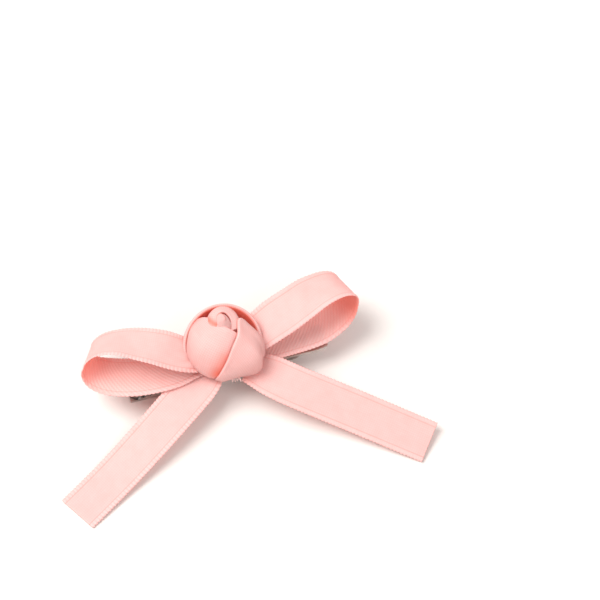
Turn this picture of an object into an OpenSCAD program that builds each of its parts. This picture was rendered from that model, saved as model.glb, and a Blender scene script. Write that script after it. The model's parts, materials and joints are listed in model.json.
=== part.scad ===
// Ribbon bow barrette: a satin bow with a folded ribbon rosette on a sprung steel hair clip.
// Millimetres. +X runs along the clip to its thumb end, +Y is the back of the bow, +Z is up.
// The origin lies on the flat underside of the jaw, below the rosette.

/* [Ribbon] */
// Width of the ribbon
ribbon_width = 10; // [9:0.5:10.5]
// Thickness of the ribbon
ribbon_thickness = 0.4; // [0.3:0.05:0.5]

/* [Rosette] */
// Radius of the rosette at its widest
rose_radius = 9.2; // [8.8:0.1:9.6]
// Height of the top of the bud above the surface the barrette lies on
rose_top = 20; // [19:0.25:21]

/* [Clip] */
// Length of the top plate
plate_length = 47.5; // [45.5:0.5:50]
// Width of the top plate
plate_width = 6.2; // [6.2:0.1:7]
// Height of the plate's top face above the jaw's underside
plate_top = 5.6; // [5.5:0.1:5.7]
// Thickness of the pressed steel
steel = 0.5; // [0.45:0.05:0.5]
// Depth of the plate's turned-down edges
flange_depth = 0.8; // [0.7:0.1:1.2]
// Angle at which the plate's gripping end slopes down to the tip
beak_angle = 16; // [15:0.5:16]
// Radius of the hinge pin
pin_radius = 0.6; // [0.5:0.05:0.65]
// Radius of the small hole at the thumb end
thumb_hole_radius = 0.7; // [0.5:0.1:0.9]
// Diameter of the spring wire
wire = 0.5; // [0.4:0.05:0.5]

/* [Hidden] */

$fn = 48;

// Clip
plate_tip = -22.9;
thumb_end = plate_tip + plate_length;
plate_under = plate_top - steel;
plate_side = plate_width / 2;
tip_radius = 2.2;
bend_x = -8;
beak_length = (bend_x - plate_tip) / cos(beak_angle);
corner_radius = 1.2;
lip_drop = 1.5;
hole_x = thumb_end - 3.2;
rim_width = 0.35;
rim_height = 0.25;

pin_x = 8.5;
pin_z = 3.3;
running_clearance = 0.05;
ear_radius = 1.4;
ear_half = 1.9;
pin_head_radius = 1;
pin_head = 0.35;

jaw_side = 2.5;
jaw_wall = 0.4;
jaw_tip = -22.7;
jaw_flat_end = 3.5;
lever_start = 11;
lever_low = 1.3;
lever_end = 18.5;
lever_side = 1.8;
// Lower face of the jaw's floor, from the gripping tip to the start of the thumb lever
jaw_floor = [[jaw_tip, 0], [jaw_flat_end, 0], [8, 0.95], [lever_start, lever_low]];
tooth_pitch = 1.5;
tooth_first = -21;
tooth_count = 8;
tooth_clearance = 0.15;
tooth_depth = 0.75;
wall_end = 13;
wall_boss = 1.3;

coil_radius = 1.25;
coil_turns = 4.5;
coil_pitch = 0.54;
coil_steps = 16;
leg_x = 15;
leg_top_z = plate_under - 0.35;
leg_low_z = lever_low + steel + 0.3;
wire_sides = 8;

// Adhesive and binding
glue = 0.35;
glue_left = -14;
glue_right = 19.5;
glue_side = 2.7;
centre_half = [4.5, 4.7];
centre_z = [plate_top + glue + 0.3, 8.35];
waist_cut = 4;
waist_offset = 7.6;
thread = 0.25;
thread_half = 3.8;
thread_gap = 0.6;
thread_count = 4;

// Rosette
rose_y = 1.1;
rose_base = 9;
bud_radius = 2.2;
wrap_gap = 0.25;
inner_radius = 4.6;
petal_inner = inner_radius + wrap_gap;
petal_top = rose_top - 2.2;
petal_gap_angle = 3;

// Ribbon centre lines, each station as [x, y, z, width direction x, y, z]
ribbon_rings = 48;
loop_right_line = [
    [5, 1.2, 9, -0.05, -0.99, -0.1],
    [9, 2.3, 10.7, -0.07, -0.97, -0.25],
    [13, 3.5, 12.3, -0.07, -0.97, -0.25],
    [18.5, 5.3, 13.4, 0.02, -0.99, -0.16],
    [24, 7.4, 13.9, 0.08, -0.99, 0.09],
    [28.5, 8.5, 13.6, 0.15, -0.95, 0.26],
    [31.4, 8.5, 12.2, 0.23, -0.9, 0.37],
    [32.3, 7.9, 10.2, 0.25, -0.88, 0.41],
    [31.4, 6.7, 8, 0.22, -0.93, 0.28],
    [29.2, 5.3, 6.8, 0.15, -0.98, 0.12],
    [26, 3.6, 6.4, 0.08, -1, 0.04],
    [22, 2.3, 6.3, 0.03, -1, 0],
    [14, 1.6, 6.3, 0, -1, 0],
    [5, 1, 6.5, 0, -1, 0],
];
loop_left_line = [
    [-5, 0.7, 8.5, -0.15, -0.98, -0.1],
    [-9.3, 1.2, 10.9, -0.22, -0.98, 0],
    [-15.2, 3.4, 13.1, -0.31, -0.95, 0.1],
    [-22, 6.3, 13.7, -0.39, -0.84, 0.37],
    [-26.8, 7.4, 12.5, -0.42, -0.8, 0.43],
    [-29.6, 7.2, 10.5, -0.4, -0.82, 0.4],
    [-30.3, 6.1, 8.5, -0.35, -0.88, 0.32],
    [-29.4, 4.3, 7.2, -0.31, -0.93, 0.2],
    [-26.6, 2.1, 6.8, -0.26, -0.96, 0.06],
    [-21.4, 0.3, 6.9, -0.2, -0.98, 0],
    [-14.8, -0.3, 7, -0.15, -0.99, 0],
    [-9, 0.4, 7, -0.1, -1, 0],
    [-5, 0.8, 7, 0, -1, 0],
];
tail_left_line = [
    [-5.4, -4.2, 6.15, 0.9, -0.45, 0],
    [-10.9, -7.8, 5.8, 0.86, -0.5, -0.06],
    [-20.2, -14.2, 4, 0.68, -0.72, -0.05],
    [-31, -21, 1.4, 0.56, -0.83, 0],
    [-40.8, -27.2, 0.4, 0.58, -0.81, 0],
];
tail_right_line = [
    [5.4, -4.2, 7.3, -0.6, -0.8, 0],
    [8.5, -6.9, 7.6, -0.6, -0.78, -0.1],
    [14.4, -12, 7.2, -0.58, -0.79, -0.2],
    [26.2, -20.1, 4.2, -0.56, -0.79, -0.24],
    [41, -30.9, 1.4, -0.55, -0.81, -0.2],
];

function unit(v) = v / norm(v);

// A station before the first or after the last one continues the line straight on
function station(line, i) =
    i < 0 ? 2 * line[0] - line[1] :
    i >= len(line) ? 2 * line[len(line) - 1] - line[len(line) - 2] :
    line[i];

// Smooth curve through four stations
function blend4(a, b, c, d, t) =
    0.5 * (2 * b + (c - a) * t + (2 * a - 5 * b + 4 * c - d) * t * t
        + (3 * b - a - 3 * c + d) * t * t * t);

function smooth_line(line, rings) = [
    for (k = [0 : rings])
        let (t = k * (len(line) - 1) / rings, i = min(floor(t), len(line) - 2))
            blend4(station(line, i - 1), station(line, i), station(line, i + 1), station(line, i + 2), t - i)
];

function point_of(s) = [s[0], s[1], s[2]];
function width_of(s) = [s[3], s[4], s[5]];

function direction(line, i) =
    unit(point_of(line[min(i + 1, len(line) - 1)]) - point_of(line[max(i - 1, 0)]));

// Four corners of the ribbon's cross-section at ring i
function ribbon_ring(line, i) =
    let (
        along = direction(line, i),
        raw = width_of(line[i]),
        across = unit(raw - (raw * along) * along) * ribbon_width / 2,
        up = unit(cross(along, across)) * ribbon_thickness / 2,
        centre = point_of(line[i])
    ) [centre - across - up, centre + across - up, centre + across + up, centre - across + up];

// Round cross-section of the wire at ring i, for a line that stays near the XZ plane
function wire_ring(line, i) =
    let (along = direction(line, i), up = unit(cross(along, [0, 1, 0])), side = cross(up, along))
        [for (k = [0 : wire_sides - 1])
            point_of(line[i]) + wire / 2 * (cos(360 * k / wire_sides) * side + sin(360 * k / wire_sides) * up)];

// Closed solid through rings that all have the same number of points
module skin(rings) {
    sides = len(rings[0]);
    last = (len(rings) - 1) * sides;
    points = [for (ring = rings) each ring];
    walls = [
        for (i = [0 : len(rings) - 2], k = [0 : sides - 1])
            let (a = i * sides + k, b = i * sides + (k + 1) % sides)
                each [[a, b, b + sides], [a, b + sides, a + sides]]
    ];
    first_cap = [for (k = [sides - 1 : -1 : 0]) k];
    last_cap = [for (k = [0 : sides - 1]) last + k];
    polyhedron(points = points, faces = concat(walls, [first_cap, last_cap]), convexity = 8);
}

module ribbon(line, rings = ribbon_rings) {
    path = smooth_line(line, rings);
    skin([for (i = [0 : len(path) - 1]) ribbon_ring(path, i)]);
}

// Extrudes an outline drawn in X and Z from y_low to y_high
module slab(y_low, y_high) {
    translate([0, y_high, 0])
        rotate([90, 0, 0])
            linear_extrude(y_high - y_low)
                children();
}

// Height of the plate's underside along its sloping end
function beak_under(x) = plate_top - steel / cos(beak_angle) - (bend_x - x) * tan(beak_angle);

module plate_outline() {
    translate([bend_x, -plate_side])
        square([thumb_end - corner_radius - bend_x, plate_width]);
    translate([thumb_end - corner_radius - 1, corner_radius - plate_side])
        square([corner_radius + 1, plate_width - 2 * corner_radius]);
    for (side = [-1, 1])
        translate([thumb_end - corner_radius, side * (plate_side - corner_radius)])
            circle(r = corner_radius);
}

// The sloping gripping end, drawn back from the bend
module beak_outline() {
    polygon([
        [0, -plate_side], [tip_radius - beak_length, -tip_radius],
        [tip_radius - beak_length, tip_radius], [0, plate_side],
    ]);
    translate([tip_radius - beak_length, 0])
        circle(r = tip_radius);
}

module plate_ear_outline() {
    translate([pin_x, pin_z])
        circle(r = ear_radius);
    translate([pin_x - ear_half, pin_z])
        square([2 * ear_half, plate_under - pin_z + steel / 2]);
}

module pin_bore(radius) {
    slab(-plate_width, plate_width)
        translate([pin_x, pin_z])
            circle(r = radius);
}

module top_plate() {
    flange_end = thumb_end - corner_radius;
    color([0.72, 0.7, 0.67])
        difference() {
            union() {
                translate([0, 0, plate_under])
                    linear_extrude(steel)
                        plate_outline();
                translate([bend_x, 0, plate_top])
                    rotate([0, -beak_angle, 0])
                        translate([0, 0, -steel])
                            linear_extrude(steel)
                                beak_outline();
                for (side = [-1, 1])
                    translate([bend_x, side * (plate_side - steel / 2) - steel / 2, plate_top - flange_depth])
                        cube([flange_end - bend_x, steel, flange_depth - steel / 2]);
                slab(plate_side - steel, plate_side)
                    plate_ear_outline();
                slab(-plate_side, steel - plate_side)
                    plate_ear_outline();
                translate([thumb_end - steel, corner_radius - plate_side, plate_top - lip_drop])
                    cube([steel, plate_width - 2 * corner_radius, lip_drop - steel / 2]);
                translate([hole_x, 0, plate_top])
                    cylinder(r = thumb_hole_radius + rim_width, h = rim_height);
            }
            translate([hole_x, 0, plate_under - steel])
                cylinder(r = thumb_hole_radius, h = 4 * steel);
            pin_bore(pin_radius);
        }
}

module jaw_floor_outline() {
    top = [for (i = [len(jaw_floor) - 1 : -1 : 0]) jaw_floor[i] + [0, steel]];
    polygon(concat(jaw_floor, top));
}

module jaw_wall_outline() {
    teeth = [
        for (i = [0 : tooth_count - 1])
            let (root_x = tooth_first + i * tooth_pitch, top_x = root_x + tooth_pitch / 2)
                each [
                    [root_x, beak_under(root_x) - tooth_clearance - tooth_depth],
                    [top_x, beak_under(top_x) - tooth_clearance],
                ]
    ];
    teeth_end = tooth_first + tooth_count * tooth_pitch;
    polygon(concat(
        [[jaw_tip, 0], [jaw_tip, steel]],
        teeth,
        [
            [teeth_end, beak_under(teeth_end) - tooth_clearance - tooth_depth], [teeth_end + 3, 2.6],
            [4, 2.6], [pin_x - wall_boss, pin_z], [pin_x + wall_boss, pin_z],
            [wall_end, lever_low + steel], [wall_end, lever_low], [lever_start, lever_low], [8, 0.95],
            [jaw_flat_end, 0],
        ]
    ));
    translate([pin_x, pin_z])
        circle(r = wall_boss);
}

module lower_jaw() {
    color([0.66, 0.64, 0.61])
        difference() {
            union() {
                slab(-jaw_side, jaw_side)
                    jaw_floor_outline();
                translate([lever_start - 1, -lever_side, lever_low])
                    cube([lever_end - lever_start + 1 - lever_side, 2 * lever_side, steel]);
                translate([lever_end - lever_side, 0, lever_low])
                    cylinder(r = lever_side, h = steel);
                slab(jaw_side - jaw_wall, jaw_side)
                    jaw_wall_outline();
                slab(-jaw_side, jaw_wall - jaw_side)
                    jaw_wall_outline();
            }
            pin_bore(pin_radius + running_clearance);
        }
}

module hinge_pin() {
    color([0.6, 0.59, 0.57])
        translate([pin_x, 0, pin_z])
            rotate([90, 0, 0]) {
                cylinder(r = pin_radius, h = plate_width, center = true);
                for (side = [0, 1])
                    mirror([0, 0, side])
                        translate([0, 0, plate_side])
                            cylinder(r = pin_head_radius, h = pin_head);
            }
}

module torsion_spring() {
    steps = coil_turns * coil_steps;
    half = coil_turns * coil_pitch / 2;
    coil = [
        for (i = [0 : steps])
            let (angle = 90 + 360 * i / coil_steps)
                [pin_x + coil_radius * cos(angle), coil_pitch * i / coil_steps - half,
                    pin_z + coil_radius * sin(angle)]
    ];
    line = concat([[leg_x, -half, leg_top_z]], coil, [[leg_x, half, leg_low_z]]);
    color([0.55, 0.55, 0.55])
        skin([for (i = [0 : len(line) - 1]) wire_ring(line, i)]);
}

module glue_on_clip() {
    color([0.85, 0.75, 0.6])
        translate([glue_left, -glue_side, plate_top])
            cube([glue_right - glue_left, 2 * glue_side, glue]);
}

module tail_left() {
    color([0.99, 0.87, 0.86])
        ribbon(tail_left_line);
}

module tail_right() {
    color([0.98, 0.82, 0.8])
        ribbon(tail_right_line);
}

module loop_left() {
    color([0.98, 0.8, 0.77])
        ribbon(loop_left_line);
}

module loop_right() {
    color([0.98, 0.8, 0.77])
        ribbon(loop_right_line);
}

// The gathered middle of the bow, waisted where the thread draws it in
module bow_centre() {
    color([0.95, 0.7, 0.67])
        translate([0, 0, centre_z[0]])
            linear_extrude(centre_z[1] - centre_z[0])
                difference() {
                    square(2 * centre_half, center = true);
                    for (side = [-1, 1])
                        translate([0, side * waist_offset])
                            circle(r = waist_cut);
                }
}

module thread_binding() {
    color([0.96, 0.78, 0.75])
        for (i = [0 : thread_count - 1])
            translate([(i - (thread_count - 1) / 2) * thread_gap - thread / 2, 0, 0])
                difference() {
                    translate([0, -thread_half - thread, centre_z[0] - thread])
                        cube([thread, 2 * (thread_half + thread), centre_z[1] - centre_z[0] + 2 * thread]);
                    translate([-thread, -thread_half, centre_z[0]])
                        cube([3 * thread, 2 * thread_half, centre_z[1] - centre_z[0]]);
                }
}

module glue_under_rosette() {
    color([0.85, 0.75, 0.6])
        translate([0, 0, centre_z[1] + thread])
            cylinder(r = 3.4, h = rose_base - centre_z[1] - thread);
}

// Turns an outline, drawn as radius and height, about the rosette's axis
module rose_turn(from_angle = 0, sweep = 360) {
    translate([0, rose_y, 0])
        rotate([0, 0, from_angle])
            rotate_extrude(angle = sweep)
                children();
}

module petal_outline() {
    polygon([
        [petal_inner, rose_base + 0.4], [rose_radius - 1.4, rose_base + 1.8],
        [rose_radius, rose_base + 3.8], [rose_radius - 0.3, rose_base + 5.8],
        [rose_radius - 1.5, petal_top - 1.3], [rose_radius - 3, petal_top - 0.2],
        [petal_inner, petal_top],
    ]);
}

module rose_bud() {
    color([0.95, 0.75, 0.72])
        rose_turn()
            polygon([
                [0, rose_base], [bud_radius, rose_base], [bud_radius, rose_top - 2],
                [bud_radius - 0.6, rose_top - 0.6], [0, rose_top],
            ]);
}

module rose_inner_wrap() {
    color([0.96, 0.77, 0.74])
        rose_turn()
            polygon([
                [bud_radius + wrap_gap, rose_base], [inner_radius - 0.3, rose_base],
                [inner_radius, rose_top - 3], [inner_radius - 0.6, rose_top - 1.5],
                [bud_radius + wrap_gap, rose_top - 1.2],
            ]);
}

module rose_petal_back() {
    color([0.97, 0.79, 0.76])
        rose_turn(20, 140)
            petal_outline();
}

module rose_petal_front() {
    color([0.97, 0.81, 0.79])
        rose_turn(160 + petal_gap_angle, 130)
            petal_outline();
}

module rose_petal_right() {
    color([0.95, 0.77, 0.74])
        rose_turn(290 + 2 * petal_gap_angle, 90 - 3 * petal_gap_angle)
            petal_outline();
}

// Cut end of the rosette's ribbon, tucked out at the front under the petals
module rose_raw_end() {
    color([0.97, 0.8, 0.78])
        translate([0.4, -7.4, rose_base - 0.3])
            cube([2, 4, ribbon_thickness]);
}

top_plate();
lower_jaw();
hinge_pin();
torsion_spring();
glue_on_clip();
tail_left();
tail_right();
loop_left();
loop_right();
bow_centre();
thread_binding();
glue_under_rosette();
rose_bud();
rose_inner_wrap();
rose_petal_back();
rose_petal_front();
rose_petal_right();
rose_raw_end();
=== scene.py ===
"""Looks of the ribbon bow barrette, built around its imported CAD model.

Shapes are worked out in millimetres, in the CAD model's frame, and turned into metres when a mesh is made.
"""
import json
import math

import bpy
import numpy as np
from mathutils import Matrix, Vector


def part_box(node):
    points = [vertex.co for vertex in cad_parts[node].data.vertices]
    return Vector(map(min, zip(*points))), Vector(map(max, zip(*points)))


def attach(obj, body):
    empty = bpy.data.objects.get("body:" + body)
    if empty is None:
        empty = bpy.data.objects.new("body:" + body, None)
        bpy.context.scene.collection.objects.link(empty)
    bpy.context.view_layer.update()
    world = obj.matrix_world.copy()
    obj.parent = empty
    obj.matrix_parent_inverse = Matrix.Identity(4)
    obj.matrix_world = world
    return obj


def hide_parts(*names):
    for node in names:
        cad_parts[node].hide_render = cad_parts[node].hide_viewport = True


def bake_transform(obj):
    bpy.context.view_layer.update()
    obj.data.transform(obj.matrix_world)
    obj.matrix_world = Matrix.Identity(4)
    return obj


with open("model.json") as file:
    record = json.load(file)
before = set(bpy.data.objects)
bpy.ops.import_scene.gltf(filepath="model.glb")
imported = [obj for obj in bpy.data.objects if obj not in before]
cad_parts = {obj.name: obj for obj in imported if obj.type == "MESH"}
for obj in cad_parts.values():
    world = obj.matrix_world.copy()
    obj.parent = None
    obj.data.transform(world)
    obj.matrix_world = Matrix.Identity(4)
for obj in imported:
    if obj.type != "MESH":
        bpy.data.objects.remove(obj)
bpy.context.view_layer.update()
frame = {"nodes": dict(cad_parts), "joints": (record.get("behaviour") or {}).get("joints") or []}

MM = 0.001
TAU = 2 * math.pi

# ---------------------------------------------------------------- ribbon routes

# Each station is [x, y, z, width direction x, y, z]. They are part.scad's, except that the left tail starts
# further in under the rosette. They began as a helper script's output for places read off the photo, and many
# were then moved by hand, so they aren't worked out from the driving dimensions.
LOOP_RIGHT = [
    [5, 1.2, 9, -0.05, -0.99, -0.1],
    [9, 2.3, 10.7, -0.07, -0.97, -0.25],
    [13, 3.5, 12.3, -0.07, -0.97, -0.25],
    [18.5, 5.3, 13.4, 0.02, -0.99, -0.16],
    [24, 7.4, 13.9, 0.08, -0.99, 0.09],
    [28.5, 8.5, 13.6, 0.15, -0.95, 0.26],
    [31.4, 8.5, 12.2, 0.23, -0.9, 0.37],
    [32.3, 7.9, 10.2, 0.25, -0.88, 0.41],
    [31.4, 6.7, 8, 0.22, -0.93, 0.28],
    [29.2, 5.3, 6.8, 0.15, -0.98, 0.12],
    [26, 3.6, 6.4, 0.08, -1, 0.04],
    [22, 2.3, 6.3, 0.03, -1, 0],
    [14, 1.6, 6.3, 0, -1, 0],
    [5, 1, 6.5, 0, -1, 0],
]
LOOP_LEFT = [
    [-5, 0.7, 8.5, -0.15, -0.98, -0.1],
    [-9.3, 1.2, 10.9, -0.22, -0.98, 0],
    [-15.2, 3.4, 13.1, -0.31, -0.95, 0.1],
    [-22, 6.3, 13.7, -0.39, -0.84, 0.37],
    [-26.8, 7.4, 12.5, -0.42, -0.8, 0.43],
    [-29.6, 7.2, 10.5, -0.4, -0.82, 0.4],
    [-30.3, 6.1, 8.5, -0.35, -0.88, 0.32],
    [-29.4, 4.3, 7.2, -0.31, -0.93, 0.2],
    [-26.6, 2.1, 6.8, -0.26, -0.96, 0.06],
    [-21.4, 0.3, 6.9, -0.2, -0.98, 0],
    [-14.8, -0.3, 7, -0.15, -0.99, 0],
    [-9, 0.4, 7, -0.1, -1, 0],
    [-5, 0.8, 7, 0, -1, 0],
]
TAIL_LEFT = [
    [-3.4, -0.9, 6.3, 0.95, -0.3, 0],
    [-6.2, -4.2, 6.2, 0.88, -0.47, 0],
    [-10.9, -7.8, 5.8, 0.86, -0.5, -0.06],
    [-20.2, -14.2, 4, 0.68, -0.72, -0.05],
    [-31, -21, 1.4, 0.56, -0.83, 0],
    [-40.8, -27.2, 0.4, 0.58, -0.81, 0],
]
TAIL_RIGHT = [
    [5.4, -4.2, 7.3, -0.6, -0.8, 0],
    [8.5, -6.9, 7.6, -0.6, -0.78, -0.1],
    [14.4, -12, 7.2, -0.58, -0.79, -0.2],
    [26.2, -20.1, 4.2, -0.56, -0.79, -0.24],
    [41, -30.9, 1.4, -0.55, -0.81, -0.2],
]

# ---------------------------------------------------------------- shape helpers


def unit(v):
    return v / np.maximum(np.linalg.norm(v, axis=-1, keepdims=True), 1e-9)


def smooth(points, count):
    """Smooth curve through the points, sampled at count even steps from the first to the last."""
    p = np.array(points, float)
    p = np.vstack([2 * p[0] - p[1], p, 2 * p[-1] - p[-2]])
    t = np.linspace(0, len(points) - 1, count)
    i = np.minimum(t.astype(int), len(points) - 2)
    f = (t - i)[:, None]
    a, b, c, d = p[i], p[i + 1], p[i + 2], p[i + 3]
    squared = 2 * a - 5 * b + 4 * c - d
    cubed = 3 * b - a - 3 * c + d
    return 0.5 * (2 * b + (c - a) * f + squared * f**2 + cubed * f**3)


def evenly(curve, count):
    """The curve at count points that are evenly spaced along its length, and that length."""
    steps = np.linalg.norm(np.diff(curve[:, :3], axis=0), axis=1)
    at = np.concatenate([[0], np.cumsum(steps)])
    wanted = np.linspace(0, at[-1], count)
    return np.stack([np.interp(wanted, at, column) for column in curve.T], 1), at[-1]


def bell(x, width):
    return np.exp(-((x / width) ** 2))


def grid_normals(grid):
    return unit(np.cross(np.gradient(grid, axis=0), np.gradient(grid, axis=1)))


def ring_faces(rows, around):
    """Quads between rows of points that each close on themselves, with that many points around."""
    faces = []
    for i in range(rows - 1):
        for k in range(around):
            a, b = i * around + k, i * around + (k + 1) % around
            faces.append((a, b, b + around, a + around))
    return faces


def box_mm(node):
    """Low and high corners of a node's CAD box, in millimetres."""
    return [np.array(corner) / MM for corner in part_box(node)]


def finish_mesh(name, points, faces, material, uv=None, back=None, painted_shade=None):
    """Mesh object from points in millimetres. uv is in millimetres of cloth; back and the painted shade
    (saturated red darkening in folds) go from 0 to 1.
    """
    mesh = bpy.data.meshes.new(name)
    mesh.from_pydata((np.asarray(points) * MM).tolist(), [], faces)
    mesh.validate()
    if uv is not None:
        layer = mesh.uv_layers.new(name="cloth")
        index = np.zeros(len(mesh.loops), int)
        mesh.loops.foreach_get("vertex_index", index)
        layer.data.foreach_set("uv", np.asarray(uv)[index].astype(np.float32).ravel())
    for label, values in (("back", back), ("painted_shade", painted_shade)):
        if values is not None:
            attribute = mesh.attributes.new(label, "FLOAT", "POINT")
            attribute.data.foreach_set("value", np.asarray(values, np.float32))
    mesh.polygons.foreach_set("use_smooth", [True] * len(mesh.polygons))
    mesh.materials.append(material)
    piece = bpy.data.objects.new(name, mesh)
    bpy.context.scene.collection.objects.link(piece)
    return piece


def cloth(name, mid, thick, across, along, material, painted_shade=None, face=1, inner=0.0):
    """Closed cloth about a grid of middle points, with rounded long edges.

    Rows run along the cloth and columns across it. face is 1 where the good side is the grid's normal side.
    inner is more painted shade, added on the reverse only."""
    rows, cols = mid.shape[:2]
    half = np.broadcast_to(np.asarray(thick, float) / 2, (rows, cols))[..., None]
    normal = grid_normals(mid)
    side = unit(np.gradient(mid, axis=1))
    low = mid[:, :1] - side[:, :1] * half[:, :1]
    high = mid[:, -1:] + side[:, -1:] * half[:, -1:]
    ring = np.concatenate([mid + normal * half, high, (mid - normal * half)[:, ::-1], low], 1)
    around = ring.shape[1]
    uv_across = np.concatenate([across, across[-1:], across[::-1], across[:1]])
    uv = np.stack(np.broadcast_arrays(uv_across[None, :], np.asarray(along)[:, None]), -1).reshape(-1, 2)
    top_back = 0.0 if face > 0 else 1.0
    back = np.concatenate([np.full(cols, top_back), [0.5], np.full(cols, 1 - top_back), [0.5]])
    faces = ring_faces(rows, around)
    for start, turned in ((0, True), ((rows - 1) * around, False)):
        for k in range(cols - 1):
            quad = (start + k, start + k + 1, start + 2 * cols - k - 1, start + 2 * cols - k)
            faces.append(quad[::-1] if turned else quad)
        for tip in ((cols - 1, cols, cols + 1), (2 * cols, 2 * cols + 1, 0)):
            corner = tuple(start + k for k in tip)
            faces.append(corner[::-1] if turned else corner)
    depth = np.zeros((rows, cols)) if painted_shade is None else painted_shade
    # The reverse gets the extra painted shade from inner
    top, bottom = (depth, depth + inner) if face > 0 else (depth + inner, depth)
    depth = np.concatenate([top, top[:, -1:], bottom[:, ::-1], bottom[:, :1]], 1).ravel()
    return finish_mesh(name, ring.reshape(-1, 3), faces, material, uv, np.tile(back, rows), depth)


# How far a tube's closed ends stand out, as a share of its radius
TUBE_TIP = 0.5


def tube(points, radius, sides=10, ply=0.0, twist=0.0):
    """Points and faces of a round closed tube along a line. ply gives it that share of two-ply bulge."""
    line = np.array(points, float)
    along = unit(np.gradient(line, axis=0))
    start = np.array([0.0, 0.0, 1.0]) if abs(along[0][2]) < 0.9 else np.array([1.0, 0.0, 0.0])
    u = start - along[0] * (start @ along[0])
    rings = []
    length = 0.0
    for i, (p, t) in enumerate(zip(line, along)):
        u = u - t * (u @ t)
        u = u / np.linalg.norm(u)
        v = np.cross(t, u)
        if i:
            length += np.linalg.norm(p - line[i - 1])
        angle = np.arange(sides) * TAU / sides
        r = radius * (1 + ply * np.cos(2 * (angle - twist * length)))
        rings.append(p + (r * np.cos(angle))[:, None] * u + (r * np.sin(angle))[:, None] * v)
    count = len(rings)
    faces = ring_faces(count, sides)
    tips = [line[0] - along[0] * radius * TUBE_TIP, line[-1] + along[-1] * radius * TUBE_TIP]
    first, last = count * sides, count * sides + 1
    for k in range(sides):
        faces.append((first, (k + 1) % sides, k))
        faces.append((last, (count - 1) * sides + k, (count - 1) * sides + (k + 1) % sides))
    return np.vstack([np.concatenate(rings), tips]), faces


def joined(parts):
    """One point list and one face list from several."""
    points, faces, base = [], [], 0
    for p, f in parts:
        points.append(p)
        faces += [tuple(base + k for k in face) for face in f]
        base += len(p)
    return np.vstack(points), faces


# ---------------------------------------------------------------- materials


class Nodes:
    """Short names for the nodes of one material."""

    def __init__(self, name):
        self.material = bpy.data.materials.new(name)
        self.material.use_nodes = True
        self.tree = self.material.node_tree
        self.shader = self.tree.nodes["Principled BSDF"]
        self.output = self.tree.nodes["Material Output"]

    def add(self, kind, **settings):
        node = self.tree.nodes.new("ShaderNode" + kind)
        for key, value in settings.items():
            setattr(node, key, value)
        return node

    def link(self, source, target):
        self.tree.links.new(source, target)

    def feed(self, node, *values):
        """The node with its inputs, in order, linked to a socket or set to a number."""
        for socket, value in zip(node.inputs, values):
            if isinstance(value, bpy.types.NodeSocket):
                self.link(value, socket)
            else:
                socket.default_value = value
        return node

    def math(self, operation, *values):
        return self.feed(self.add("Math", operation=operation), *values).outputs[0]

    def combine(self, x, y, z=0.0):
        return self.feed(self.add("CombineXYZ"), x, y, z).outputs[0]

    def noise(self, vector, scale, detail=2.0):
        node = self.add("TexNoise")
        self.link(vector, node.inputs["Vector"])
        node.inputs["Scale"].default_value = scale
        node.inputs["Detail"].default_value = detail
        return node.outputs["Fac"]

    def ramp(self, value, low, high, to_low=0.0, to_high=1.0):
        node = self.add("MapRange", interpolation_type="SMOOTHSTEP")
        return self.feed(node, value, low, high, to_low, to_high).outputs[0]

    def mix(self, factor, low, high):
        node = self.add("Mix", data_type="RGBA")
        for socket, value in zip((node.inputs[0], node.inputs[6], node.inputs[7]), (factor, low, high)):
            if isinstance(value, bpy.types.NodeSocket):
                self.link(value, socket)
            else:
                socket.default_value = value
        return node.outputs[2]

    def bump(self, height, distance, strength=1.0):
        node = self.add("Bump")
        node.inputs["Strength"].default_value = strength
        node.inputs["Distance"].default_value = distance
        self.link(height, node.inputs["Height"])
        return node.outputs["Normal"]

    def set(self, **values):
        for key, value in values.items():
            self.shader.inputs[key.replace("_", " ")].default_value = value


def rgb(red, green, blue):
    return (red, green, blue, 1.0)


PINK = rgb(0.90, 0.605, 0.575)
PINK_LIGHT = rgb(0.93, 0.70, 0.68)
PINK_BACK = rgb(0.92, 0.70, 0.67)
# Saturated red of the painted shade in folds, tucks, gathers and the bud's spiral
PINK_PAINTED_SHADE = rgb(0.97, 0.20, 0.12)
PINK_SEAM = rgb(0.80, 0.34, 0.29)
GLOW = rgb(0.98, 0.48, 0.42)

# Spacing of the cloth's threads and patterns, in millimetres
WARP_PITCH = 0.16
WEFT_PITCH = 0.22
TWILL_ACROSS = 1.1
TWILL_ALONG = 0.95
GRAIN_PITCH = 1.0

# Where a selvage's beads and seam start and stop, in millimetres from the ribbon's middle
BEADS_START = (3.75, 3.95)
SEAM_START = (3.68, 3.8)
SEAM_STOP = (3.88, 4.0)

GRAIN_ON_RIBBON = 0.2
GRAIN_ON_ROSETTE = 0.42
LIGHT_THROUGH = 0.38


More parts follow.
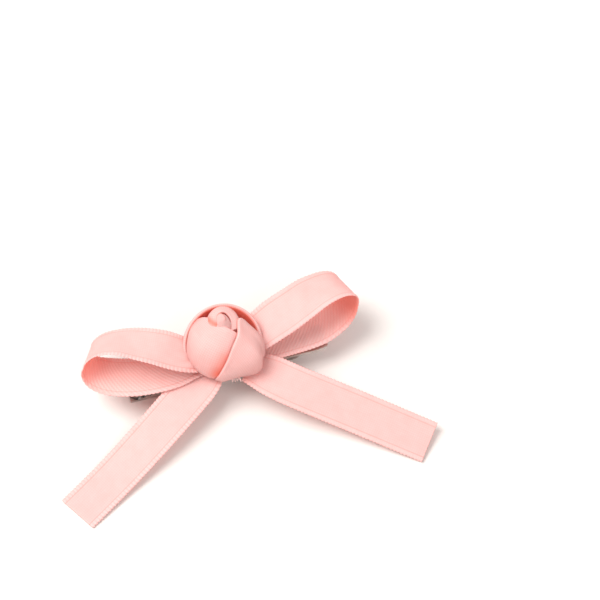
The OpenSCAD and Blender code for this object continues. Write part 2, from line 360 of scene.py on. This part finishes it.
def ribbon_material(name, selvage):
    """Pink satin: fine lengthwise threads on its face, a twill on its reverse, and beaded selvages. Its
    colour also carries painted shade in folds and gathers and a painted highlight on the selvage beads.
    """
    n = Nodes(name)
    cloth_uv = n.add("UVMap", uv_map="cloth").outputs[0]
    parts = n.add("SeparateXYZ")
    n.link(cloth_uv, parts.inputs[0])
    across, along = parts.outputs[0], parts.outputs[1]
    back = n.add("Attribute", attribute_name="back").outputs["Fac"]
    painted_shade = n.add("Attribute", attribute_name="painted_shade").outputs["Fac"]

    warp = n.math("SINE", n.math("MULTIPLY", across, TAU / WARP_PITCH))
    weft = n.math("SINE", n.math("MULTIPLY", along, TAU / WEFT_PITCH))
    plain = n.math("MULTIPLY_ADD", weft, 0.35, warp)
    twill_across = n.math("MULTIPLY", across, -TAU / TWILL_ACROSS)
    twill_along = n.math("MULTIPLY", along, TAU / TWILL_ALONG)
    twill = n.math("SINE", n.math("ADD", twill_across, twill_along))
    one_way = n.math("SINE", n.math("MULTIPLY", n.math("ADD", across, along), TAU / GRAIN_PITCH))
    other_way = n.math("SINE", n.math("MULTIPLY", n.math("SUBTRACT", across, along), TAU / GRAIN_PITCH))
    grain = n.math("MULTIPLY", one_way, other_way)
    slub = n.noise(n.combine(n.math("MULTIPLY", across, 2.2), n.math("MULTIPLY", along, 0.3)), 1.0, 3.0)
    speck = n.noise(n.combine(across, along), 2.4, 2.0)
    cloud = n.noise(n.combine(across, along), 0.35)

    colour = n.mix(n.ramp(slub, 0.3, 0.7, 0.35, 0.65), PINK, PINK_LIGHT)
    colour = n.mix(back, colour, PINK_BACK)
    grain_strength = GRAIN_ON_RIBBON if selvage else GRAIN_ON_ROSETTE
    colour = n.mix(n.ramp(grain, -0.9, 0.9, 0.0, grain_strength), colour, PINK_SEAM)
    colour = n.mix(n.ramp(speck, 0.35, 0.65, 0.0, 0.25), colour, PINK_LIGHT)
    twill_shade = n.math("MULTIPLY", n.math("MULTIPLY", n.ramp(twill, -0.2, 0.9), back), 0.24)
    colour = n.mix(twill_shade, colour, PINK_SEAM)
    if selvage:
        out = n.math("ABSOLUTE", across)
        bead = n.math("SINE", n.math("MULTIPLY", along, TAU / BEAD_PITCH))
        # Painted highlight: lighter along the beaded selvage, brightest on each bead's crest
        bead_highlight = n.math("MULTIPLY", n.ramp(out, *BEADS_START), n.ramp(bead, -1.0, 1.0, 0.1, 0.75))
        colour = n.mix(bead_highlight, colour, PINK_LIGHT)
        line = n.math("MULTIPLY", n.ramp(out, *SEAM_START), n.ramp(out, *SEAM_STOP, 1.0, 0.0))
        colour = n.mix(n.math("MULTIPLY", line, 0.5), colour, PINK_SEAM)
    # Painted shade: saturated red where the cloth lies in folds, tucks and gathers
    colour = n.mix(n.math("MULTIPLY", painted_shade, 0.95), colour, PINK_PAINTED_SHADE)
    colour = n.mix(n.ramp(cloud, 0.3, 0.75, 0.0, 0.12), colour, PINK_SEAM)
    n.link(colour, n.shader.inputs["Base Color"])
    n.link(n.ramp(slub, 0.2, 0.8, 0.36, 0.5), n.shader.inputs["Roughness"])
    height = n.math("MULTIPLY_ADD", n.math("MULTIPLY", twill, back), 2.2, n.math("MULTIPLY", plain, 0.5))
    height = n.math("MULTIPLY_ADD", grain, -0.7, height)
    n.link(n.bump(height, 0.00002, 0.7), n.shader.inputs["Normal"])
    n.set(Specular_IOR_Level=0.32, Sheen_Weight=0.1, Sheen_Roughness=0.35)
    n.shader.inputs["Sheen Tint"].default_value = rgb(1.0, 0.85, 0.82)

    glow = n.add("BsdfTranslucent")
    glow.inputs["Color"].default_value = GLOW
    through = n.add("MixShader")
    through.inputs[0].default_value = LIGHT_THROUGH
    n.link(n.shader.outputs[0], through.inputs[1])
    n.link(glow.outputs[0], through.inputs[2])
    n.link(through.outputs[0], n.output.inputs["Surface"])
    return n.material


def steel_material(name, colour, rough, streak):
    """Nickel-plated pressed steel: rolling lines, faint blotches and fine scratches."""
    n = Nodes(name)
    place = n.add("TexCoord").outputs["Object"]
    parts = n.add("SeparateXYZ")
    n.link(place, parts.inputs[0])
    x, y, z = parts.outputs
    lines = n.noise(n.combine(n.math("MULTIPLY", x, 180.0), n.math("MULTIPLY", y, 9000.0),
                              n.math("MULTIPLY", z, 9000.0)), 1.0, 4.0)
    blotch = n.noise(place, 420.0, 3.0)
    dark = rgb(*(c * 0.72 for c in colour[:3]))
    n.link(n.mix(n.ramp(blotch, 0.3, 0.75), colour, dark), n.shader.inputs["Base Color"])
    n.link(n.ramp(lines, 0.25, 0.75, rough, rough + 0.16), n.shader.inputs["Roughness"])
    n.link(n.bump(lines, 0.00001, streak), n.shader.inputs["Normal"])
    n.set(Metallic=1.0)
    return n.material


def glue_material(name):
    """Set hot-melt glue: amber, a little cloudy, with a soft uneven skin."""
    n = Nodes(name)
    place = n.add("TexCoord").outputs["Object"]
    cloudy = n.noise(place, 500.0, 3.0)
    skin = n.noise(place, 1400.0, 2.0)
    n.link(n.mix(cloudy, rgb(0.62, 0.36, 0.17), rgb(0.82, 0.60, 0.38)), n.shader.inputs["Base Color"])
    n.link(n.ramp(cloudy, 0.2, 0.8, 0.18, 0.36), n.shader.inputs["Roughness"])
    n.link(n.bump(skin, 0.00006, 0.6), n.shader.inputs["Normal"])
    n.set(Transmission_Weight=0.3, Coat_Weight=0.3)
    return n.material


def thread_material(name):
    """Pink polyester thread with fine twisted strands."""
    n = Nodes(name)
    place = n.add("TexCoord").outputs["Object"]
    strand = n.noise(place, 5200.0, 2.0)
    n.link(n.mix(strand, rgb(0.86, 0.50, 0.45), rgb(0.93, 0.72, 0.69)), n.shader.inputs["Base Color"])
    n.link(n.ramp(strand, 0.2, 0.8, 0.4, 0.62), n.shader.inputs["Roughness"])
    n.link(n.bump(strand, 0.00003, 0.7), n.shader.inputs["Normal"])
    n.set(Sheen_Weight=0.4, Sheen_Roughness=0.4)
    return n.material


# ---------------------------------------------------------------- camera, lights and floor

# Chosen to match the photo
VIEW_TURN = math.radians(-15)
VIEW_HEIGHT = math.radians(60)
VIEW_DISTANCE = 0.56
VIEW_AIM = Vector((0.0210, 0.0093, 0.0084))
VIEW_LENS = 143.8


def add_camera():
    back = Vector((
        math.sin(VIEW_TURN) * math.cos(VIEW_HEIGHT),
        -math.cos(VIEW_TURN) * math.cos(VIEW_HEIGHT),
        math.sin(VIEW_HEIGHT),
    ))
    data = bpy.data.cameras.new("camera")
    data.lens = VIEW_LENS
    data.sensor_width = 36
    data.clip_start = 0.01
    data.clip_end = 20
    camera = bpy.data.objects.new("camera", data)
    camera.location = VIEW_AIM + back * VIEW_DISTANCE
    camera.rotation_euler = back.to_track_quat("Z", "Y").to_euler()
    bpy.context.scene.collection.objects.link(camera)
    bpy.context.scene.camera = camera


def add_softbox(name, place, size, power, colour):
    data = bpy.data.lights.new(name, "AREA")
    data.shape = "RECTANGLE"
    data.size, data.size_y = size
    data.energy = power
    data.color = colour
    lamp = bpy.data.objects.new(name, data)
    lamp.location = place
    lamp.rotation_euler = Vector(place).to_track_quat("Z", "Y").to_euler()
    bpy.context.scene.collection.objects.link(lamp)


def add_light():
    world = bpy.data.worlds.new("studio")
    world.use_nodes = True
    sky = world.node_tree.nodes["Background"]
    sky.inputs["Color"].default_value = rgb(1.0, 0.99, 0.985)
    sky.inputs["Strength"].default_value = 0.64
    bpy.context.scene.world = world
    add_softbox("key_softbox", (-0.34, 0.16, 0.62), (0.5, 0.5), 6.4, (1.0, 0.99, 0.97))
    add_softbox("front_softbox", (0.25, -0.45, 0.5), (0.5, 0.4), 1.9, (1.0, 0.98, 0.97))
    bpy.context.scene.view_settings.view_transform = "Standard"


def add_floor():
    """Pale sweep: a floor with a faint paper grain, wide enough to fill every view."""
    n = Nodes("paper_floor")
    place = n.add("TexCoord").outputs["Object"]
    grain = n.noise(place, 900.0, 3.0)
    n.link(n.mix(grain, rgb(0.71, 0.67, 0.645), rgb(0.73, 0.69, 0.665)), n.shader.inputs["Base Color"])
    n.link(n.bump(grain, 0.00002, 0.2), n.shader.inputs["Normal"])
    n.set(Roughness=0.85, Specular_IOR_Level=0.2)
    mesh = bpy.data.meshes.new("floor")
    far, drop = 4.0, 0.00002
    mesh.from_pydata([(-far, -far, 0), (far, -far, 0), (far, far, 0), (-far, far, 0)], [], [(0, 1, 2, 3)])
    mesh.materials.append(n.material)
    floor = bpy.data.objects.new("floor", mesh)
    floor.location.z = -drop
    bpy.context.scene.collection.objects.link(floor)


# ---------------------------------------------------------------- ribbons

BEAD_PITCH = 0.85
EDGE_BEAD = 0.07
ROW_STEP = 0.17
ROUTE_SAMPLES = 900
CLOTH = 0.26

# Across the ribbon, in millimetres from its middle
GROOVE = 3.82
SELVAGE = 3.9
SCALLOPS = 4.7
LAST_THREAD = 4.85

GROOVE_WIDTH = 0.09
GROOVE_DEPTH = 0.09
SELVAGE_BLEND = 0.05
SELVAGE_EXTRA = 0.09
LAST_THINNING = 0.45

PLEAT_PITCH = 2.9
PLEAT_WANDER = 0.6
# Strength of the painted shade in the valleys of the gathers at the knot
PLEAT_PAINTED_SHADE = 0.08
PLEAT_SQUEEZE = 0.16


def ribbon_columns():
    """Distances from the ribbon's middle, closer together at its selvages."""
    inner = np.linspace(0, 3.6, 10)
    rim = np.array([3.72, 3.82, 3.95, 4.1, 4.35, 4.6, 4.78, 4.9])
    half = np.concatenate([inner, rim])
    return np.concatenate([-half[:0:-1], half])


def ribbon_grid(line, waves, pleats):
    """Middle points of a ribbon along its route, its distances across and along, and its thickness.

    waves are soft rises of the cloth, each (place along, width, height, slant); pleats are the gathers at the
    knot, each (place along, reach, depth), with painted shade in their valleys."""
    curve, length = evenly(smooth(line, ROUTE_SAMPLES), ROUTE_SAMPLES)
    count = int(length / ROW_STEP)
    curve, length = evenly(curve, count)
    along = np.linspace(0, length, count)
    across = ribbon_columns()
    centre = curve[:, :3]
    ahead = unit(np.gradient(centre, axis=0))
    width = curve[:, 3:]
    width = unit(width - ahead * np.sum(width * ahead, 1, keepdims=True))
    normal = np.cross(ahead, width)
    s, u = along[:, None], across[None, :]
    squeeze = np.ones((count, 1))
    rise = np.zeros((count, len(across)))
    painted_shade = np.zeros((count, len(across)))
    for place, reach, depth in pleats:
        near = bell(s - place, reach)
        pleat = np.cos(u * TAU / PLEAT_PITCH + PLEAT_WANDER * np.sin(s))
        # Painted shade, strongest in the valleys of the gathers
        painted_shade = painted_shade + near * (PLEAT_PAINTED_SHADE - PLEAT_PAINTED_SHADE * pleat)
        squeeze = squeeze - PLEAT_SQUEEZE * near
        rise = rise + depth * near * pleat
    for place, spread, height, slant in waves:
        rise = rise + height * bell(s - place - slant * u, spread)
    bead = np.cos(s * TAU / BEAD_PITCH)
    out = np.abs(u)
    rim = 1 / (1 + np.exp(-(out - SELVAGE) / SELVAGE_BLEND))
    scallop = np.where(out > SCALLOPS, EDGE_BEAD * bead, 0.0) * np.sign(u)
    sideways = (u * squeeze + scallop)[..., None]
    mid = centre[:, None] + width[:, None] * sideways + normal[:, None] * rise[..., None]
    groove = bell(out - GROOVE, GROOVE_WIDTH)
    thick = CLOTH - GROOVE_DEPTH * groove + rim * (SELVAGE_EXTRA + EDGE_BEAD * bead)
    thinning = 1 - LAST_THINNING * (out > LAST_THREAD)
    return mid, thick * thinning, across, along, length, painted_shade


def add_ribbon(node, line, material, face, waves, pleats, painted_bend_shade=()):
    """Ribbon along a route. Its last argument lists turns where its reverse gets painted shade, each (place
    along, reach, strength).
    """
    mid, thick, across, along, length, painted_shade = ribbon_grid(line, waves, pleats)
    # Painted shade on the reverse, at the far turn of each loop
    inner = sum(strength * bell(along - place, reach) for place, reach, strength in painted_bend_shade)
    inner = np.broadcast_to(np.reshape(inner, (-1, 1)), painted_shade.shape)
    piece = cloth(node + "_satin", mid, thick, across, along, material,
                  painted_shade=painted_shade, face=face, inner=inner)
    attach(piece, "plate")
    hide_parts(node)


# ---------------------------------------------------------------- rosette

ROSE_CENTRE = np.array([0.6, 1.6, 9.0])
PETAL_CLOTH = 0.36

# Rows of a petal's grid: the hidden tuck, the fold over its edge, its outside, and the foot below
TUCK_ROWS = 5
FOLD_ROWS = 6
OUTSIDE_ROWS = 16
FOOT_ROWS = 7
FOLD_TURN = math.radians(165)

# Skews a petal's bulge towards its belly
BULGE_SKEW = 1.2


def between(low, high, bulge, steps):
    """Grid rows from curve low to curve high, bowed away from the rosette's middle by bulge millimetres."""
    out = unit((low + high) / 2 - ROSE_CENTRE) * np.reshape(bulge, (-1, 1))
    rows = []
    for t in np.linspace(0, 1, steps):
        rows.append(low + (high - low) * t + out * math.sin(math.pi * t**BULGE_SKEW))
    return np.array(rows)


def end_taper(columns):
    """From nearly 0 at both ends of a petal's edge to 1 along its middle."""
    t = np.linspace(0, 1, columns)
    return np.minimum(1, 7 * np.minimum(t, 1 - t) + 0.1)


def roll_edge(grid, radius, tuck):
    """The grid with its first row carried on round a fold of that radius and back underneath for tuck."""
    outward = unit(grid[0] - grid[1])
    normal = grid_normals(grid[:4])[0]
    if np.mean(np.sum(normal * (grid[0] - ROSE_CENTRE), 1)) < 0:
        normal = -normal
    hub = grid[0] - normal * radius
    reach = tuck * end_taper(grid.shape[1])[:, None]
    rows = []
    for k in range(1, FOLD_ROWS + 1):
        angle = FOLD_TURN * k / FOLD_ROWS
        rows.append(hub + radius * (normal * math.cos(angle) + outward * math.sin(angle)))
    heading = outward * math.cos(FOLD_TURN) - normal * math.sin(FOLD_TURN)
    for k in range(1, TUCK_ROWS + 1):
        rows.append(rows[FOLD_ROWS - 1] + heading * reach * k / TUCK_ROWS)
    return np.concatenate([np.array(rows[::-1]), grid])


def near_fold(grid, fold, reach):
    """How close each point of a grid is to a fold's line: 1 on it, fading to 0 beyond its reach."""
    line = smooth(fold, 120)
    gap = np.linalg.norm(grid[:, :, None] - line[None, None], axis=-1).min(-1)
    return bell(gap, reach)


def add_petal(name, node, edge, belly, foot, bulge, roll, tuck, material, columns, low_bulge=0.5, painted_fold_shade=()):
    """Folded petal: a rolled top edge, an outside that swells to the belly, and a foot that turns in below.

    Its last argument lists the lines where other cloth presses on it, each (line, reach, strength), with
    painted shade along each."""
    rim = smooth(edge, columns)
    waist = smooth(belly, columns)
    base = smooth(foot, columns)
    swell = np.interp(np.linspace(0, 1, columns), np.linspace(0, 1, len(bulge)), bulge)
    outside = between(rim, waist, swell, OUTSIDE_ROWS)
    under = between(waist, base, low_bulge, FOOT_ROWS + 1)[1:]
    grid = roll_edge(np.concatenate([outside, under]), roll, tuck)
    rows = grid.shape[0]
    down = np.cumsum(np.concatenate([[0], np.linalg.norm(np.diff(grid[:, columns // 2], axis=0), axis=1)]))
    side = np.cumsum(np.concatenate([[0], np.linalg.norm(np.diff(grid[rows // 2], axis=0), axis=1)]))
    hidden = FOLD_ROWS + TUCK_ROWS
    painted_shade = np.zeros((rows, columns))
    # Painted shade: saturated red in the hidden tuck, fading towards the petal's ends
    painted_shade[:hidden] = np.clip(np.linspace(2.6, -0.6, hidden), 0, 1)[:, None] * end_taper(columns)
    # Painted shade growing towards the foot, which turns in under the petal
    painted_shade[-FOOT_ROWS:] = np.maximum(painted_shade[-FOOT_ROWS:], np.linspace(0.0, 0.8, FOOT_ROWS)[:, None])
    # Painted shade along the lines where other cloth presses on the petal
    for fold, reach, strength in painted_fold_shade:
        painted_shade = np.maximum(painted_shade, strength * near_fold(grid, fold, reach))
    normal = grid_normals(grid)
    outwards = np.sum(normal * (grid - ROSE_CENTRE), -1)[hidden:-FOOT_ROWS]
    face = 1 if np.mean(outwards) > 0 else -1
    piece = cloth(name, grid.transpose(1, 0, 2), PETAL_CLOTH, down, side, material,
                  painted_shade=painted_shade.T, face=-face)
    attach(piece, "plate")
    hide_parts(node)


def add_bud(material):
    """Tightly rolled middle of the rosette: a rounded cone whose cloth winds in on itself in a spiral."""
    around, rings = 144, 34
    middle_x, middle_y = 1.3, 2.75
    half_x, half_y, top, bottom = 1.5, 2.2, 19.0, 13.5
    crown_share, crown_growth = 0.588, 1.7
    front_slope, back_slope = 0.75, 0.38
    lap_start, lap_twist, lap_step, lap_drop = 2.2, 2.6, 0.14, 0.45
    foot_start = 0.65
    points, uv, painted_shade = [], [], []
    for j in range(rings):
        t = j / (rings - 1)
        crown = min(1.0, t * crown_growth)
        lap = min(1.0, 4 * t)
        sink = max(0.0, t - crown_share) / (1 - crown_share)
        # Painted shade, growing towards the bud's foot
        shade = 0.8 * max(0.0, t - foot_start) / (1 - foot_start)
        for k in range(around):
            angle = TAU * k / around
            wind = (angle - lap_start + lap_twist * (1 - crown)) % TAU / TAU
            r = crown ** 0.85 * (1 + lap_step * (0.5 - wind) * lap)
            x, y = half_x * r * math.cos(angle), half_y * r * math.sin(angle)
            slope = front_slope if y < 0 else back_slope
            fall = 0.9 * crown**2.2 - slope * y + lap_drop * wind * lap
            z = top - fall - sink * (top - fall - bottom)
            points.append((middle_x + x - 0.1 * y, middle_y + y, z))
            uv.append((wind * 9, (1 - t) * 8))
            # Painted shade in the spiral gap under each lap, plus the shade towards the foot
            painted_shade.append(max(0.0, 1 - 12 * wind) * 0.9 * lap + shade)
    faces = [(a, d, c, b) for a, b, c, d in ring_faces(rings, around)]
    faces.append(tuple(range(around)))
    faces.append(tuple((rings - 1) * around + k for k in reversed(range(around))))
    piece = finish_mesh("rose_bud_satin", points, faces, material, uv,
                        np.zeros(len(points)), painted_shade)
    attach(piece, "plate")
    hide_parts("rose_bud")


ARC_POINTS = 13


def ring_curve(centre, radius, height, angles):
    """Level points round a centre, at angles in degrees."""
    turn = np.radians(angles)
    heights = np.full(turn.shape, float(height))
    return np.stack([centre[0] + radius * np.cos(turn), centre[1] + radius * np.sin(turn), heights], 1)


def rose_arc(centre, radii, height, rise, tilt, start, stop):
    """Oval arc round the rosette, angles in degrees: rise lifts its back and tilt lifts its right side."""
    turn = np.radians(np.linspace(start, stop, ARC_POINTS))
    across, back = np.cos(turn), np.sin(turn)
    return np.stack([centre[0] + radii[0] * across, centre[1] + radii[1] * back,
                     height + rise * back + tilt * across], 1)


def tucked_in(curve, inward, down):
    """A curve moved towards the rosette's middle and down."""
    away = np.array(curve, float) - ROSE_CENTRE
    away[:, 2] = 0
    return np.array(curve, float) - unit(away) * inward - [0, 0, down]


# Edges and folds that aren't arcs: points set to the half millimetre, so that they follow the shape
# that was measured on the photo
FRONT_EDGE = [[-5, 7.5, 13], [-2.5, 6, 16], [0, 2.5, 17.5], [2.5, 0, 17.5], [5, -1.5, 15.5]]
# A line only used for painted shade on the front petal, in the pocket under the right petal's fold
FRONT_POCKET = [[0, -3.5, 13], [-2.5, -5.5, 10]]
RIGHT_TOP = [[9.5, -1, 12], [7.5, 1.5, 14.5], [6, 3, 16.5]]
RIGHT_FOLD = [[5, 2.5, 17.5], [4, -1, 17.5], [2, -3.5, 16], [0, -5.5, 13.5], [-2, -6.5, 10.5], [-3, -6, 8]]
RIGHT_BELLY = [[9.5, -1, 12], [9.5, -2, 11], [9, -3.5, 10.5], [8, -5, 9.5], [7.5, -6.5, 9], [5.5, -7, 8.5],
               [2, -6.5, 8], [-1, -6.5, 8], [-2.5, -5.5, 7.5]]


def add_rosette(material):
    add_bud(material)
    add_petal(
        "rose_inner_wrap_satin", "rose_inner_wrap",
        rose_arc((1.35, 2.9), (1.9, 2.5), 17.5, 1.3, 0, 205, -50),
        rose_arc((1, 2.9), (3.8, 4.4), 15.9, 1.2, 1, 190, -25),
        ring_curve((0.9, 2.6), 4.3, 12.0, np.linspace(215, -45, ARC_POINTS)),
        bulge=[0.35], roll=0.17, tuck=1.6, material=material, columns=90,
        painted_fold_shade=[(FRONT_EDGE, 0.7, 0.9), (RIGHT_FOLD, 0.7, 0.9)])
    add_petal(
        "rose_petal_back_satin", "rose_petal_back",
        rose_arc((0.4, 1), (9.1, 8), 10.9, 4.6, 0.9, 184, -14),
        rose_arc((0.5, 1.2), (9.3, 8.5), 9.5, 2, 0, 184, -16),
        ring_curve((0.3, 1.4), 7.2, 8.8, np.linspace(184, -22, ARC_POINTS)),
        bulge=[0.1], roll=0.3, tuck=4.5, material=material, columns=110)
    add_petal(
        "rose_petal_front_satin", "rose_petal_front",
        FRONT_EDGE,
        rose_arc((-0.3, 0.6), (7.6, 6.9), 10.9, 2.3, 0, 128, 288),
        ring_curve((0, 1.1), 6.6, 8.5, np.linspace(140, 288, ARC_POINTS)),
        bulge=[0.1, 1, 2, 1.5, 0.2], roll=0.3, tuck=1.4, material=material, columns=90,
        painted_fold_shade=[(RIGHT_FOLD, 0.75, 0.9), (FRONT_POCKET, 1.7, 0.95)])
    add_petal(
        "rose_petal_right_satin", "rose_petal_right",
        RIGHT_TOP + RIGHT_FOLD, RIGHT_BELLY, tucked_in(RIGHT_BELLY, 1, 0.4),
        bulge=[0.1, 1, 2, 2.2, 1.5, 0.8, 0.2], roll=0.3, tuck=1.8, material=material, columns=130,
        low_bulge=0.1)


def add_raw_end(material):
    """Cut end of the rosette's ribbon, with its loose threads teased out."""
    low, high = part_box("rose_raw_end")
    x0, x1 = low.x / MM, high.x / MM
    y1, z = high.y / MM, (low.z + high.z) / 2 / MM
    loose_threads, cross_threads = 26, 14
    shortest, spread, woven_depth = 3.4, 1.3, 3.1
    parts = []
    chance = np.random.default_rng(7)
    for k in range(loose_threads):
        x = x0 + (x1 - x0) * (k + 0.5) / loose_threads
        reach = shortest + spread * chance.random()
        bend = chance.normal(0, 0.35, 2)
        line = np.array([[x, y1 - reach * t, z + 0.12 * math.sin(3 * t + k)] for t in np.linspace(0, 1, 9)])
        fray = np.linspace(0, 1, 9) ** 4
        line[:, 0] += fray * bend[0]
        line[:, 2] += fray * (bend[1] * 0.6 - 0.2)
        parts.append(tube(line, 0.055, 6))
    for k in range(cross_threads):
        y = y1 - woven_depth * (k + 0.5) / cross_threads
        line = [[x, y, z + 0.05 * math.sin(9 * x)] for x in np.linspace(x0 - 0.1, x1 + 0.1, 10)]
        parts.append(tube(line, 0.05, 6))
    points, faces = joined(parts)
    piece = finish_mesh("rose_raw_end_threads", points, faces, material)
    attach(piece, "plate")
    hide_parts("rose_raw_end")


# ---------------------------------------------------------------- knot, thread and glue


def add_knot(material):
    """Gathered middle of the bow: pleated cloth, drawn in to a waist."""
    low, high = box_mm("bow_centre")
    half, middle = (high - low) / 2, (high + low) / 2
    rows, around = 60, 160
    pleats, pleat_height, margin = 22, 0.09, 0.1
    waist_reach, waist_in, waist_down = 2.2, 1.05, 0.03
    points, uv = [], []
    for i in range(rows):
        x = -half[0] + 2 * half[0] * i / (rows - 1)
        waist = math.exp(-((x / waist_reach) ** 2))
        closing = max(0.0, abs(x) / half[0] - 0.9) * 3
        for k in range(around):
            angle = TAU * k / around
            c, s = math.cos(angle), math.sin(angle)
            size = (abs(c) ** 5 + abs(s) ** 5) ** -0.2
            pleat = pleat_height * math.cos(pleats * angle) * (1 - 0.3 * closing)
            wide = (half[1] - waist_in * waist) * (1 - 0.5 * closing**2)
            tall = (half[2] - waist_down * waist) * (1 - 0.3 * closing**2)
            y = middle[1] + (wide + pleat - margin) * size * c
            z = middle[2] + (tall + pleat - margin) * size * s
            points.append((middle[0] + x, y, z))
            uv.append((k * 0.14, x))
    faces = ring_faces(rows, around)
    faces.append(tuple(reversed(range(around))))
    faces.append(tuple((rows - 1) * around + k for k in range(around)))
    piece = finish_mesh("bow_centre_satin", points, faces, material, uv,
                        np.zeros(len(points)), np.zeros(len(points)))
    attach(piece, "plate")
    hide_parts("bow_centre")


def add_binding(material):
    """Four turns of two-ply thread round the waist of the knot."""
    low, high = box_mm("thread_binding")
    middle = (low + high) / 2
    turns, inset, strand_radius = 4, 0.125, 0.11
    half_y, half_z = (high[1] - low[1]) / 2 - inset, (high[2] - low[2]) / 2 - inset
    pitch = (high[0] - low[0] - 2 * inset) / (turns - 1)
    parts = []
    for turn in range(turns):
        x = low[0] + inset + turn * pitch
        line = []
        for angle in np.linspace(0.02, TAU - 0.02, 90):
            c, s = math.cos(angle), math.sin(angle)
            size = (abs(c) ** 8 + abs(s) ** 8) ** -0.125
            line.append([x + 0.03 * math.sin(2 * angle + turn), middle[1] + half_y * size * c,
                         middle[2] + half_z * size * s])
        parts.append(tube(line, strand_radius, 8, ply=0.18, twist=5.0))
    points, faces = joined(parts)
    piece = finish_mesh("thread_binding_strands", points, faces, material)
    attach(piece, "plate")
    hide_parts("thread_binding")


def add_glue_bead(node, material, lumps):
    """Set glue filling a node's box: a low pad with a rounded rim and a wandering edge of lumps waves."""
    low, high = box_mm(node)
    half, middle = (high - low) / 2, (high + low) / 2
    around, rings = 160, 9
    points = []
    for side in (1, -1):
        for j in range(rings):
            t = j / (rings - 1)
            for k in range(around):
                angle = TAU * k / around
                c, s = math.cos(angle), math.sin(angle)
                square = (abs(c) ** 6 + abs(s) ** 6) ** (-1 / 6)
                wander = 1 - 0.05 * (1 + math.sin(lumps * angle + 1) * math.cos(3 * angle))
                edge = 1 - (1 - t) ** 2 if j < rings - 1 else 1.0
                z = side * half[2] * math.sqrt(max(0.0, 1 - edge**8))
                points.append((middle[0] + half[0] * square * c * edge * wander,
                               middle[1] + half[1] * square * s * edge * wander, middle[2] + z))
    faces = []
    layer = rings * around
    for side in range(2):
        for j in range(rings - 1):
            for k in range(around):
                a = side * layer + j * around + k
                b = side * layer + j * around + (k + 1) % around
                quad = (a, a + around, b + around, b)
                faces.append(quad if side == 0 else quad[::-1])
    piece = finish_mesh(node + "_bead", points, faces, material)
    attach(piece, "plate")
    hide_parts(node)


# ---------------------------------------------------------------- spring


def add_spring(material):
    """Torsion spring of drawn wire on the hinge pin: one leg under the plate, one on the thumb lever."""
    joint = frame["joints"][0]
    pin = np.array(joint["pos_m"]) / MM
    low, high = box_mm("torsion_spring")
    wire = 0.25
    turns, radius = 4.5, 1.25
    plate_leg_z, lever_leg_z, leg_start = 4.75, 2.1, 0.3
    half = (high[1] - low[1]) / 2 - wire
    coil = []
    for t in np.linspace(0, 1, 220):
        angle = math.radians(90) + TAU * turns * t
        x, z = pin[0] + radius * math.cos(angle), pin[2] + radius * math.sin(angle)
        coil.append([x, half * (2 * t - 1), z])
    leg_x = high[0] - wire
    leg_high = []
    for x in np.linspace(leg_x, pin[0] + leg_start, 16):
        share = (x - pin[0]) / (leg_x - pin[0])
        leg_high.append([x, -half, pin[2] + radius + (plate_leg_z - pin[2] - radius) * share])
    leg_low = []
    for x in np.linspace(pin[0] + leg_start, leg_x, 16):
        share = (x - pin[0]) / (leg_x - pin[0])
        leg_low.append([x, half, pin[2] - radius + (lever_leg_z - pin[2] + radius) * share])
    points, faces = tube(leg_high + coil + leg_low, wire * 0.96, 14)
    piece = finish_mesh("torsion_spring_wire", points, faces, material)
    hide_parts("torsion_spring")
    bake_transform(piece)


# ---------------------------------------------------------------- build

add_camera()
add_light()
add_floor()

SATIN = ribbon_material("satin_ribbon", selvage=True)
SATIN_ROSE = ribbon_material("satin_rosette", selvage=False)
THREAD = thread_material("binding_thread")
GLUE = glue_material("amber_glue")

add_ribbon("loop_right", LOOP_RIGHT, SATIN, -1,
           waves=[(9, 3.0, 0.25, 0.5), (17, 2.6, -0.22, -0.4), (52, 3.0, 0.12, 0.3)],
           pleats=[(0, 4.5, 0.22), (61.4, 4.0, 0.12)], painted_bend_shade=[(33, 4.0, 0.7)])
add_ribbon("loop_left", LOOP_LEFT, SATIN, 1,
           waves=[(10, 2.6, 0.22, 0.5), (18, 3.0, -0.15, -0.4), (49, 2.0, 0.12, 0.6)],
           pleats=[(0, 4.5, 0.22), (58.2, 4.0, 0.12)], painted_bend_shade=[(29, 4.0, 0.7)])
add_ribbon("tail_left", TAIL_LEFT, SATIN, 1,
           waves=[(14, 5.0, 0.12, 0.3), (30, 6.0, -0.08, 0.3)], pleats=[(0, 3.5, 0.1)])
add_ribbon("tail_right", TAIL_RIGHT, SATIN, -1,
           waves=[(12, 4.0, 0.12, -0.3), (28, 6.0, -0.1, 0.3)], pleats=[(0, 3.5, 0.1)])
add_rosette(SATIN_ROSE)
add_raw_end(THREAD)
add_knot(SATIN_ROSE)
add_binding(THREAD)
add_glue_bead("glue_on_clip", GLUE, 17)
add_glue_bead("glue_under_rosette", GLUE, 7)
add_spring(steel_material("spring_wire", rgb(0.62, 0.61, 0.60), 0.2, 0.3))

for steel_node, steel_colour, steel_rough in (
    ("top_plate", rgb(0.66, 0.62, 0.58), 0.24),
    ("lower_jaw", rgb(0.62, 0.59, 0.56), 0.28),
    ("hinge_pin", rgb(0.70, 0.68, 0.66), 0.16),
):
    steel_object = frame["nodes"][steel_node]
    finish = steel_material(steel_node + "_steel", steel_colour, steel_rough, 0.35)
    for place in steel_object.material_slots:
        place.material = finish
